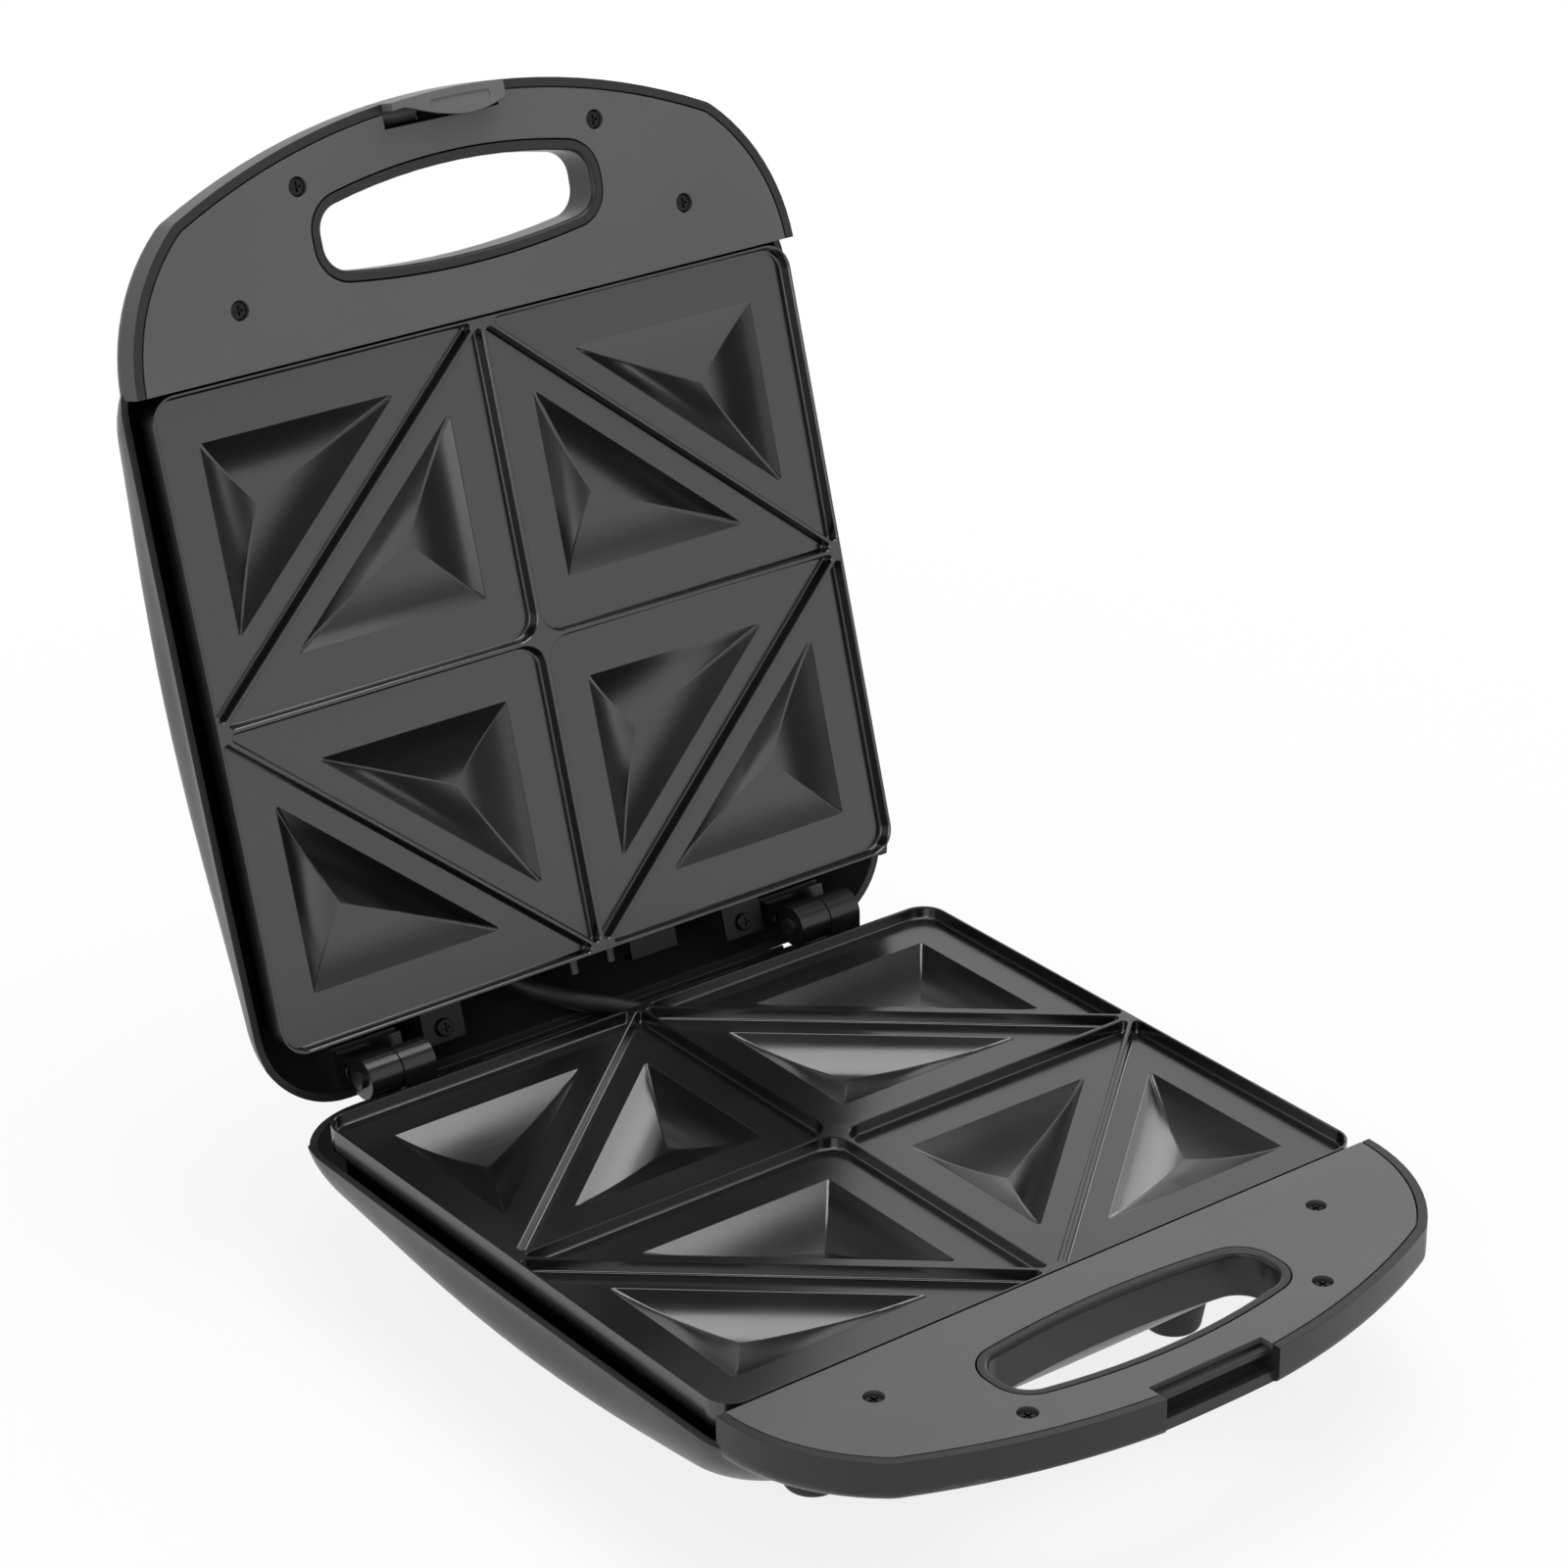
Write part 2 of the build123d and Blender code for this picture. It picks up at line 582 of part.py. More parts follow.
def lower_housing(shell):
    """Shell with the shallow notch and the keeper that the latch hooks under."""
    recess = outer_front + notch_recess
    below = block(-notch_half - notch_wall, notch_half + notch_wall, recess, recess + notch_wall,
                  -handle_thickness, -notch_depth)
    body = shell + notch_frame(notch_depth) + (below & handle_slab) - notch_box(notch_depth)
    body -= block(-notch_half, notch_half, outer_front - wall, recess, -handle_thickness, -notch_depth)
    body += block(-notch_half, notch_half, notch_y - keeper_reach, notch_y - keeper_gap,
                  keeper_bottom, cover_seat)
    hole = rod_y(gland_x, half_y - pan_inset, back_y + 5, -gland_drop, gland_radius)
    return body - hole


def upper_housing(shell):
    """Shell with the deep notch that carries the latch, and two lamp holes."""
    depth = -handle_floor
    body = shell + notch_frame(depth) - notch_box(depth)
    body -= rod_x(-notch_half - notch_wall, notch_half + notch_wall, pivot_y, -pivot_height,
                  latch_pin_radius + fixed_fit)
    for side in (-1, 1):
        body -= rod(side * lamp_x, lamp_y, -hull_depth, -floor_level, lamp_radius + fixed_fit)
    return body


def handle_cover():
    """Flat cover of the handle, flush with the rim, with four screw cups."""
    body = rise(Pos(0, 0, cover_seat) * handle_face(), cover_thickness)
    for x, ahead in screw_places:
        for side in (-1, 1):
            body += rod(side * x, front - ahead, cup_foot, cover_seat, cup_radius)
            body -= rod(side * x, front - ahead, cup_foot, 0, screw_pass)
            body -= rod(side * x, front - ahead, -screw_recess - screw_head_height, 0, screw_head + 0.2)
    body -= rise(Pos(0, 0, cover_seat) * hole_face(hole_lip + cover_gap), cover_thickness)
    return body - notch_box(notch_depth)


# ---------------------------------------------------------------- small pieces
def screw(length):
    """Cross-recessed screw: underside of its head at z = 0, shank below."""
    body = rod(0, 0, 0, screw_head_height, screw_head)
    body = fillet(body.edges().filter_by_position(Axis.Z, screw_head_height, screw_head_height), 0.6)
    body += rod(0, 0, -length, 0, screw_shank - fixed_fit)
    for turn in (0, 90):
        body -= Rot(0, 0, turn) * block(-1.7, 1.7, -0.35, 0.35, screw_head_height - 0.9, screw_head_height)
    return body


def hinge_bracket(centre, fit):
    """Screwed plate, upright arm and rolled knuckle of one hinge leaf."""
    half = knuckle_width + knuckle_gap / 2
    body = block(centre - half, centre + half, hinge_y - bracket_ahead, hinge_y + bracket_behind,
                 bracket_seat, -bracket_drop)
    x0 = centre + knuckle_gap / 2
    x1 = x0 + knuckle_width
    body += block(x0, x1, hinge_y - knuckle_radius, hinge_y - knuckle_radius + bracket_sheet,
                  bracket_seat, hinge_z)
    body += rod_x(x0, x1, hinge_y, hinge_z, knuckle_radius)
    body -= rod_x(x0, x1, hinge_y, hinge_z, pin_radius + fit)
    for side in (-1, 1):
        body -= rod(centre + side * bracket_screw_x, hinge_y, bracket_seat, -bracket_drop, screw_pass)
    return body


def hinge_pin(centre):
    """Headed pin, in place through both knuckles."""
    reach = knuckle_width + knuckle_gap / 2
    pin = rod_x(centre - reach, centre + reach + pin_tail, hinge_y, hinge_z, pin_radius)
    return pin + rod_x(centre - reach - pin_tail, centre - reach, hinge_y, hinge_z, pin_head)


def foot(x, y):
    """Tapered foot, cut to sit against the curved hull."""
    body = Pos(x, y, -(rim_height + floor_level - wall) / 2) * \
        Cone(foot_sole, foot_root, rim_height - floor_level + wall)
    sole = body.edges().filter_by_position(Axis.Z, -rim_height - 0.01, -rim_height + 0.01)
    return fillet(sole, foot_round) - hull


def thermostat():
    """Round sensor that sits against the plate's underside."""
    body = rod(0, 0, ceiling - thermostat_height, ceiling, thermostat_radius)
    body += rod(0, 0, ceiling - 2.0, ceiling - 1.0, thermostat_radius + 1.2)
    for x in (-5, 5):
        body += block(x - 1.5, x + 1.5, -3, 3, ceiling - thermostat_height - 3, ceiling - thermostat_height)
    return body


def terminal_block():
    """Connector block on the housing's floor, where the sleeve's wires end."""
    floor = -floor_level
    body = block(block_x - block_half, block_x + block_half, block_back - block_depth, block_back,
                 floor, floor + block_height)
    for x in (-block_half / 2, block_half / 2):
        body -= rod(block_x + x, block_back - block_depth / 2, floor + 6, floor + block_height, 2.5)
    return body


def cord_gland():
    """Bushing in the lower housing's back wall; its bore is the mains inlet."""
    y1 = back_y + gland_proud
    body = rod_y(gland_x, half_y + 6, y1, -gland_drop, gland_radius - fixed_fit)
    body += rod_y(gland_x, half_y + 15, y1, -gland_drop, gland_flange) - hull
    return body - rod_y(gland_x, half_y, y1, -gland_drop, gland_bore)


def lamp_lens(side):
    """Stepped round lens, its flange against the inside of the lid's top."""
    body = rod(side * lamp_x, lamp_y, -hull_depth - lamp_proud, -floor_level, lamp_radius)
    return body + rod(side * lamp_x, lamp_y, -floor_level, -floor_level + 2, lamp_radius + lamp_flange)


# ---------------------------------------------------------------- latch
def latch():
    """Spring latch: curved front wall, half-moon hook and the barrel it turns on."""
    half = notch_half - latch_fit
    grown = cover_gap + cover_lip
    strip = handle_face(grown) - handle_face(grown - latch_wall)
    window = block(-half, half, outer_front - 1, notch_y, -latch_height, hook_tip)
    front_wall = rise(Pos(0, 0, -latch_height) * strip, latch_height + hook_tip) & window
    outer = handle_slab + rise(handle_face(grown), hook_tip)
    free = [(half, hook_ends[0]), *hook_edge, (-half, hook_ends[1])]
    blade = Spline([(x, outer_front + depth) for x, depth in free])
    sides = Polyline(blade @ 1, (-half, outer_front - wall), (half, outer_front - wall), blade @ 0)
    moon = make_face([blade, *sides.edges()])
    hook = rise(Pos(0, 0, hook_top) * moon, hook_thickness) & rise(handle_face(grown), hook_tip)
    mark_x, mark_depth_in = mark_middle
    mark = rise(RectangleRounded(*mark_size, mark_round), hook_thickness)
    mark = Rot(mark_tilt, 0, 0) * mark
    hook -= Pos(mark_x, outer_front + mark_depth_in, hook_tip - mark_depth / 2) * mark
    neck = block(-half, half, outer_front + latch_wall / 2, pivot_y, -pivot_height - 1.5,
                 -pivot_height + 1.5)
    body = (front_wall & outer) + (hook & window) + (neck & outer)
    body += rod_x(-half, half, pivot_y, -pivot_height, latch_barrel)
    body -= block(-spring_half, spring_half, outer_front + latch_wall, notch_y,
                  -pivot_height - latch_barrel, -pivot_height + latch_barrel)
    return body - rod_x(-half, half, pivot_y, -pivot_height, latch_pin_radius + running_fit)


def latch_pin():
    """Plain pin through the latch and both notch walls."""
    reach = notch_half + notch_wall
    return rod_x(-reach, reach, pivot_y, -pivot_height, latch_pin_radius)


def latch_spring():
    """Torsion spring as its coil and two legs, one to the latch and one to the housing."""
    half, thin = spring_half - 1.5, spring_wire * 0.4
    coil = rod_x(-half, half, pivot_y, -pivot_height, spring_coil)
    coil -= rod_x(-half, half, pivot_y, -pivot_height, spring_coil - spring_wire)
    level = -pivot_height - spring_coil + spring_wire / 2
    for x, y0, y1 in ((1 - half, outer_front + latch_wall + 0.3, pivot_y),
                      (half - 1, pivot_y, notch_y - 0.3)):
        coil += block(x - thin, x + thin, y0, y1, level - thin, level + thin)
    return coil


def wire_sleeve():
    """Insulating sleeve that carries the wires across the hinge line."""
    turn_ahead, turn_z = sleeve_turn
    mouth_x, mouth_ahead, mouth_z = sleeve_mouth
    route = [(block_x, block_back + sleeve_gap, turn_z), (block_x, hinge_y - turn_ahead, turn_z),
             (mouth_x, hinge_y - mouth_ahead, mouth_z)]
    lower = [Vector(x, y - middle_y, z + rim_height) for x, y, z in route]
    upper = [swung_point(x, y, z) for x, y, z in reversed(route)]
    path = FilletPolyline(*lower, *upper, radius=[*sleeve_bends, *reversed(sleeve_bends)])
    start = Plane(origin=path @ 0, z_dir=path % 0)
    tube = sweep(start * Circle(sleeve_radius), path=path)
    print("sleeve bends", sleeve_bends, "volume over section times length",
          round(tube.volume / (math.pi * sleeve_radius ** 2 * path.length), 4))
    return tube


# ---------------------------------------------------------------- the two halves
def write_half(name, place, shell, fit):
    """Every piece that both halves have."""
    save(place(shell), f"{name}_housing")
    save(place(handle_cover()), f"{name}_handle_cover")
    save(place(cooking_plate()), f"{name}_cooking_plate")
    save(place(reflector_pan()), f"{name}_reflector_pan")
    save(place(heating_element()), f"{name}_heating_element")
    save(place(thermostat()), f"{name}_thermostat")
    save(place(terminal_block()), f"{name}_terminal_block")
    number = 0
    for x, ahead in screw_places:
        for side in (-1, 1):
            number += 1
            head = -screw_recess - screw_head_height
            piece = Pos(side * x, front - ahead, head) * screw(9.0)
            save(place(piece), f"{name}_cover_screw_{number}")
    for number, (x, y) in enumerate(post_places, 1):
        piece = Pos(x, y, pan_floor - pan_sheet) * (Rot(180, 0, 0) * screw(8.0))
        save(place(piece), f"{name}_plate_screw_{number}")
    for number, side in enumerate((-1, 1), 1):
        piece = Pos(side * pan_tab_x, tab_y, pan_flange) * screw(10.0)
        save(place(piece), f"{name}_pan_screw_{number}")
    for number, centre in enumerate((-hinge_centre, hinge_centre), 1):
        save(place(hinge_bracket(centre, fit)), f"{name}_hinge_bracket_{number}")
    for number, x in enumerate(bracket_screws, 1):
        piece = Pos(x, hinge_y, -bracket_drop) * screw(10.0)
        save(place(piece), f"{name}_bracket_screw_{number}")


shell = housing()
write_half("lower", set_down, lower_housing(shell), fixed_fit)
write_half("upper", swing_open, upper_housing(shell), running_fit)

for number, centre in enumerate((-hinge_centre, hinge_centre), 1):
    save(set_down(hinge_pin(centre)), f"hinge_pin_{number}")
for number, y in enumerate(foot_rows, 1):
    for side, name in ((-1, "left"), (1, "right")):
        save(set_down(foot(side * foot_x, y)), f"foot_{name}_{number}")
save(set_down(cord_gland()), "cord_gland")
save(swing_open(latch()), "latch")
save(swing_open(latch_pin()), "latch_pin")
save(swing_open(latch_spring()), "latch_spring")
save(swing_open(lamp_lens(-1)), "ready_lamp")
save(swing_open(lamp_lens(1)), "power_lamp")
save(wire_sleeve(), "wire_sleeve")
print("middle_y", round(middle_y, 4))
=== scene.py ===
# %% [markdown]
# # Dressing a four-slice sandwich toaster
# The CAD frame gives every rigid piece its true shape and place, in metres, with the
# table at z = 0 and the hinge along X.  What CAD leaves plain is made here: the finish
# of each material, the rising underside of the handles, a thin lip between the halves,
# the one flexible piece, the floor, the light and the camera.

# %% Load the frame
import json
import math

import bmesh
import bpy
from mathutils import Matrix, Vector


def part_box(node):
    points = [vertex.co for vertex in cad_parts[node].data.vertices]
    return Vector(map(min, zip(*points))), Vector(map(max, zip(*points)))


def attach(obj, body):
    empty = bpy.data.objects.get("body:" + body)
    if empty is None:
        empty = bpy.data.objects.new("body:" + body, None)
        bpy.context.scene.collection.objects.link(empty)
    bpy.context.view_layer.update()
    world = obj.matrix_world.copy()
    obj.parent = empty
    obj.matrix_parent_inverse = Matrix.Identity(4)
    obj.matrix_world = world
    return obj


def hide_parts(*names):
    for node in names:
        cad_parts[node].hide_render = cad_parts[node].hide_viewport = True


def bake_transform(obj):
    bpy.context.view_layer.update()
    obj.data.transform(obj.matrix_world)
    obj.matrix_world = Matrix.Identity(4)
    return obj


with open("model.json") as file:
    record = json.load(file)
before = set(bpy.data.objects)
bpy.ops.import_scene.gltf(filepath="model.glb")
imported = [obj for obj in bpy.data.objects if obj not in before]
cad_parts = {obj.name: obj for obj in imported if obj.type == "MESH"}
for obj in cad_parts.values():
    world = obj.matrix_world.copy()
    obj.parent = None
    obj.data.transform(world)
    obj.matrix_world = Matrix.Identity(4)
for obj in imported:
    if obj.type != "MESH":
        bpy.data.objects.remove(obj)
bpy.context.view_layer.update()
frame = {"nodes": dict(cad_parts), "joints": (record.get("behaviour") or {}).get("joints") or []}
nodes = frame["nodes"]
mm = 0.001

# %% [markdown]
# ## The camera
# A product shot is taken with a long lens from some way off, so that the near handle
# doesn't loom.  The place, the turn and the lens were worked out once from the corners
# of the two plates, whose width had been settled first, and stay as plain numbers.  A
# camera looks along its own -Z, so its matrix is built from three axes: right, up, back.


# %% Camera
def in_scene(name, data):
    """An object for a mesh, a lamp or a camera, linked into the scene."""
    made = bpy.data.objects.new(name, data)
    bpy.context.scene.collection.objects.link(made)
    return made


film_width = 36
focal_length = 104.6
camera_place = Vector((-0.7736, -1.0210, 0.7740))
azimuth = math.radians(-37.026)
elevation = math.radians(25.074)
roll = math.radians(-0.752)

back = Vector((math.sin(azimuth) * math.cos(elevation),
               -math.cos(azimuth) * math.cos(elevation), math.sin(elevation)))
level = Vector((math.cos(azimuth), math.sin(azimuth), 0))
upright = back.cross(level)
right = level * math.cos(roll) + upright * math.sin(roll)
up = upright * math.cos(roll) - level * math.sin(roll)

camera = in_scene("camera", bpy.data.cameras.new("camera"))
camera.data.sensor_width = film_width
camera.data.lens = focal_length
camera_turn = Matrix((right, up, back)).transposed().to_4x4()
camera.matrix_world = Matrix.Translation(camera_place) @ camera_turn
bpy.context.scene.camera = camera

# %% [markdown]
# ## Shader maths as expressions
# A procedural finish is arithmetic on noise.  Wired by hand it is a tangle of Math nodes,
# so one small class wraps a socket: adding or multiplying two of them adds the node that
# does it, and a single method adds every other kind of node, its settings first.


# %% A socket that can be calculated with
class Socket:
    """A node's output; arithmetic on it adds Math nodes."""

    def __init__(self, tree, output=None):
        self.tree = tree
        self.output = output

    def node(self, kind, settings=None, inputs=None, output=0):
        """Add a node, set it up, give its sockets a value or a link, and wrap its output."""
        made = self.tree.nodes.new(kind)
        for name, value in (settings or {}).items():
            if name == "stops":
                made.color_ramp.elements[0].position, made.color_ramp.elements[1].position = value
            else:
                setattr(made, name, value)
        for name, value in (inputs or {}).items():
            if isinstance(value, Socket):
                self.tree.links.new(value.output, made.inputs[name])
            else:
                made.inputs[name].default_value = value
        return Socket(self.tree, made.outputs[output])

    def math(self, operation, first, second=0.0):
        return self.node("ShaderNodeMath", {"operation": operation}, {0: first, 1: second})

    def __add__(self, other):
        return self.math("ADD", self, other)

    __radd__ = __add__

    def __mul__(self, other):
        return self.math("MULTIPLY", self, other)

    __rmul__ = __mul__

    def __sub__(self, other):
        return self.math("SUBTRACT", self, other)

    def __rsub__(self, other):
        return self.math("SUBTRACT", other, self)

    def noise(self, size, detail=2.0, stretch=(1, 1, 1)):
        """Noise from 0 to 1 whose spots are about that many metres across."""
        place = self.node("ShaderNodeMapping", inputs={"Vector": self, "Scale": stretch})
        return self.node("ShaderNodeTexNoise", inputs={"Vector": place, "Scale": 1 / size,
                                                       "Detail": detail})

    def ramp(self, low, high):
        """The value spread so that low gives 0 and high gives 1."""
        return self.node("ShaderNodeValToRGB", {"stops": (low, high)}, {"Fac": self})

    def between(self, first, second):
        """A colour between two, by this value."""
        return self.node("ShaderNodeMix", {"data_type": "RGBA"}, {0: self, 6: first, 7: second},
                         output=2)

    def bump(self, height, ease=0.0):
        """A normal from this value as a height in metres, on edges eased by a small radius."""
        inputs = {"Height": self, "Distance": height}
        if ease:
            inputs["Normal"] = self.node("ShaderNodeBevel", {"samples": 4}, {"Radius": ease})
        return self.node("ShaderNodeBump", inputs=inputs)


def grey(value, warmth=0.0):
    """A linear grey, a little warm or cool."""
    return (value * (1 + warmth), value, value * (1 - warmth), 1)


def new_material(name):
    """A material, its shader and the Object coordinates to build a finish from."""
    material = bpy.data.materials.new(name)
    material.use_nodes = True
    tree = material.node_tree
    place = Socket(tree).node("ShaderNodeTexCoord", output="Object")
    return material, tree.nodes["Principled BSDF"], place


def wire(shader, varying, fixed):
    """Link what varies over the surface and set what doesn't."""
    for name, source in varying.items():
        source.tree.links.new(source.output, shader.inputs[name])
    for name, value in fixed.items():
        shader.inputs[name].default_value = value


# %% [markdown]
# ## Moulded plastic
# The two halves, their handle covers and the latch are moulded in a heat-resisting
# plastic with an even satin surface.  Three things keep it from looking like paint: the
# resin drifts a little in tone over a hand's width, the mould's fine spark-eroded grain
# breaks up the highlight, and handling leaves faint smoother patches.  No moulded edge is
# razor sharp, either: a Bevel node turns the normal within a fraction of a millimetre of
# each edge, which catches the thin bright lines of a real moulding without a new mesh.
# A roughness that varies is noise times its swing, plus its middle less half the swing.


# %% Plastic finishes
def moulded(name, tone, roughness, warmth=0.0, shine=1.5):
    """Satin plastic: drifting tone, fine grain, rubbed patches and eased edges."""
    grain, relief, ease, swing = 0.35 * mm, 0.012 * mm, 0.35 * mm, 0.07
    material, shader, place = new_material(name)
    drift = place.noise(90 * mm, 3)
    speck = place.noise(0.8 * mm, 2)
    shade = drift * 0.7 + speck * 0.3
    colour = shade.ramp(0.35, 0.65).between(grey(tone * 0.9, warmth), grey(tone * 1.1, warmth))
    rubbed = place.noise(35 * mm, 4, stretch=(1, 2.2, 1)).ramp(0.3, 0.75)
    dullness = rubbed * swing + (roughness - swing / 2)
    texture = place.noise(grain, 2) * 0.7 + place.noise(6 * mm, 2) * 0.3
    wire(shader, {"Base Color": colour, "Roughness": dullness,
                  "Normal": texture.bump(relief, ease)}, {"IOR": shine})
    return material


def rubber(name, tone, roughness):
    """Black rubber: dull, with a fine dust-like bloom."""
    material, shader, place = new_material(name)
    bloom = place.noise(4 * mm, 5).ramp(0.35, 0.75)
    colour = bloom.between(grey(tone), grey(tone * 1.7, 0.02))
    texture = place.noise(0.3 * mm, 3)
    wire(shader, {"Base Color": colour, "Roughness": bloom * 0.12 + roughness,
                  "Normal": texture.bump(0.02 * mm)}, {"Specular IOR Level": 0.4})
    return material


# %% [markdown]
# ## Non-stick coating
# The plates are cast aluminium sprayed with a dark non-stick coat.  The spray lies in
# fine orange-peel, is a little glossier in some places than in others, and carries tiny
# pale flecks.  A bump of fifteen microns is enough: light does the rest.


# %% Non-stick finish
def nonstick(name):
    """Dark sprayed coating: nearly black, smooth, with orange-peel and pale flecks."""
    darkest, palest = grey(0.003, 0.01), grey(0.007, 0.015)
    roughness, swing, relief, shine = 0.2, 0.05, 0.015 * mm, 1.8
    material, shader, place = new_material(name)
    cloud = place.noise(45 * mm, 3)
    fleck = place.noise(0.7 * mm, 1).ramp(0.68, 0.8)
    colour = (cloud * 0.6 + fleck * 0.4).ramp(0.2, 0.8).between(darkest, palest)
    peel = place.noise(1.3 * mm, 2) * 0.75 + place.noise(9 * mm, 2) * 0.25
    dullness = cloud.ramp(0.3, 0.7) * swing + (roughness - swing / 2)
    wire(shader, {"Base Color": colour, "Roughness": dullness, "Normal": peel.bump(relief)},
         {"IOR": shine})
    return material


# %% [markdown]
# ## Metals
# Bare steel shows its making: drawn or turned pieces carry fine lines, plated ones a
# cloudy bloom, and the blackened screws a thin oxide that is worn bright in places.


# %% Metal finishes
def metal(name, tone, worn_tone, roughness, metallic=1.0, wear=0.6, warmth=0.0, lines=(1, 1, 1)):
    """Metal with a cloudy bloom, worn to another tone where the noise passes wear."""
    worn_edge, relief = 0.12, 0.01 * mm
    material, shader, place = new_material(name)
    cloud = place.noise(7 * mm, 4)
    scratches = place.noise(0.5 * mm, 3, stretch=lines)
    worn = (cloud * 0.6 + scratches * 0.4).ramp(wear, wear + worn_edge)
    colour = worn.between(grey(tone, warmth), grey(worn_tone, warmth))
    dullness = cloud * 0.12 + scratches * 0.08 + (roughness - 0.1)
    wire(shader, {"Base Color": colour, "Roughness": dullness, "Normal": scratches.bump(relief)},
         {"Metallic": metallic})
    return material


def lens(name, colour):
    """Clear coloured lens of a lamp that is off: deep colour under a hard gloss."""
    material, shader, place = new_material(name)
    depth = place.noise(3 * mm, 2)
    dark = tuple(v * 0.6 for v in colour)
    wire(shader, {"Base Color": depth.between((*dark, 1), (*colour, 1)),
                  "Roughness": depth * 0.06 + 0.1},
         {"Coat Weight": 0.5, "Transmission Weight": 0.3})
    return material


# %% [markdown]
# ## One finish for each slot
# The frame's nodes come with plain materials named after their slots.  Each is swapped
# for the finish of that name, so pieces moulded or stamped from one stock look alike.

# %% Finishes on the nodes
finishes = {
    "housing_plastic": moulded("housing_plastic", 0.019, 0.34, shine=1.4),
    "cover_plastic": moulded("cover_plastic", 0.086, 0.34),
    "latch_plastic": moulded("latch_plastic", 0.125, 0.45),
    "terminal_plastic": moulded("terminal_plastic", 0.03, 0.5, warmth=0.05),
    "nonstick_plate": nonstick("nonstick_plate"),
    "foot_rubber": rubber("foot_rubber", 0.018, 0.6),
    "gland_rubber": rubber("gland_rubber", 0.016, 0.55),
    "sleeve_rubber": rubber("sleeve_rubber", 0.012, 0.45),
    "screw_steel": metal("screw_steel", 0.03, 0.12, 0.42, wear=0.66),
    "bracket_paint": metal("bracket_paint", 0.010, 0.03, 0.2, metallic=0.0, wear=0.7),
    "pin_steel": metal("pin_steel", 0.015, 0.05, 0.25, metallic=0.0, wear=0.7),
    "spring_steel": metal("spring_steel", 0.4, 0.6, 0.32),
    "pan_steel": metal("pan_steel", 0.035, 0.09, 0.4, wear=0.66, lines=(0.08, 1, 1)),
    "sensor_metal": metal("sensor_metal", 0.55, 0.65, 0.35),
    "element_sheath": metal("element_sheath", 0.11, 0.2, 0.5, warmth=0.06),
    "red_lens": lens("red_lens", (0.45, 0.012, 0.008)),
    "green_lens": lens("green_lens", (0.02, 0.32, 0.05)),
}

for node in nodes.values():
    for slot in node.material_slots:
        slot.material = finishes[slot.material.name.split(".")[0]]
print(len(finishes), "finishes on", len(nodes), "nodes")

# %% [markdown]
# ## Handles that thin towards the front
# Seen from the side, the underside of each handle rises a little towards its front.  The
# frame's handle is equally deep all along, so the housing is drawn again from a copy of
# its mesh: what lies below the screws and the latch is pressed up, more the nearer it is
# to the front.  Nothing else moves.  The copy's loose triangles aren't merged, because
# that would lose the frame's own normals and streak the shading.  Both halves are one
# moulding, so the upper one is laid on the lower, pressed and swung back.

# %% Thinned housings
hinge = next(joint for joint in frame["joints"] if joint["name"] == "lid_hinge")
hinge_point = Vector(hinge["pos_m"])
open_angle = math.radians(hinge["range_deg"][1])
rim_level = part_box("lower_cooking_plate")[1].z
handle_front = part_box("lower_housing")[0].y
handle_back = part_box("lower_handle_cover")[1].y
handle_depth = 17.0 * mm
front_depth = 13.0 * mm
kept_depth = 11.0 * mm

turned_over = (Matrix.Translation(hinge_point) @ Matrix.Rotation(-open_angle, 4, "X")
               @ Matrix.Rotation(math.pi, 4, "Y") @ Matrix.Translation(-hinge_point))


def thinned(housing, body, laid):
    """The housing with a thinner handle; laid takes the lower one's place to this one's."""
    mesh = nodes[housing].data.copy()
    mesh.name = housing + "_thinned"
    mesh.transform(laid.inverted())
    for vert in mesh.vertices:
        ahead = (handle_back - vert.co.y) / (handle_back - handle_front)
        below = (rim_level - kept_depth - vert.co.z) / (handle_depth - kept_depth)
        share = min(max(ahead, 0), 1) * min(max(below, 0), 1)
        vert.co.z += share * (handle_depth - front_depth)
    mesh.transform(laid)
    piece = in_scene(mesh.name, mesh)
    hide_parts(housing)
    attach(piece, body)
    print(piece.name, len(mesh.polygons), "faces")


thinned("lower_housing", "base", Matrix.Identity(4))
thinned("upper_housing", "lid", turned_over)

# %% [markdown]
# ## The lip behind the hinges
# The back edges of the halves nearly meet when the toaster is open, and no light comes
# through between them: a thin moulded lip stands on the lower edge and laps the gap.  It
# is a block stretched to length, with its edges eased, and stands nearer to the hinge's
# axis than the lid's wall ever comes.

# %% Back lip
lip_half = 78 * mm
lip_behind = (7.35 * mm, 8.55 * mm)
lip_below = (13.6 * mm, 11.2 * mm)
lip_ease = 0.3 * mm
lip_low = hinge_point + Vector((-lip_half, lip_behind[0], -lip_below[0]))
lip_high = hinge_point + Vector((lip_half, lip_behind[1], -lip_below[1]))

shape = bmesh.new()
bmesh.ops.create_cube(shape, size=1)
bmesh.ops.scale(shape, vec=lip_high - lip_low, verts=shape.verts)
bmesh.ops.translate(shape, vec=(lip_low + lip_high) / 2, verts=shape.verts)
bmesh.ops.bevel(shape, geom=shape.edges[:], offset=lip_ease, segments=3, profile=0.5,
                affect="EDGES", material=-1)
lip_mesh = bpy.data.meshes.new("back_lip")
shape.to_mesh(lip_mesh)
shape.free()
lip_mesh.materials.append(finishes["housing_plastic"])
lip = in_scene("back_lip", lip_mesh)
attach(lip, "base")
print("back lip", round((lip_high - lip_low).x / mm), "mm long")

# %% [markdown]
# ## The wire sleeve
# Behind the plates a black sleeve takes the lid's wires across the hinge.  It is the one
# piece that bends, so it is drawn as a smooth curve that a few points lead: out of one
# terminal block, up to the hinge line, and into the other block.  The upper half
# is the lower one turned over and swung open, so its points follow from the same three.

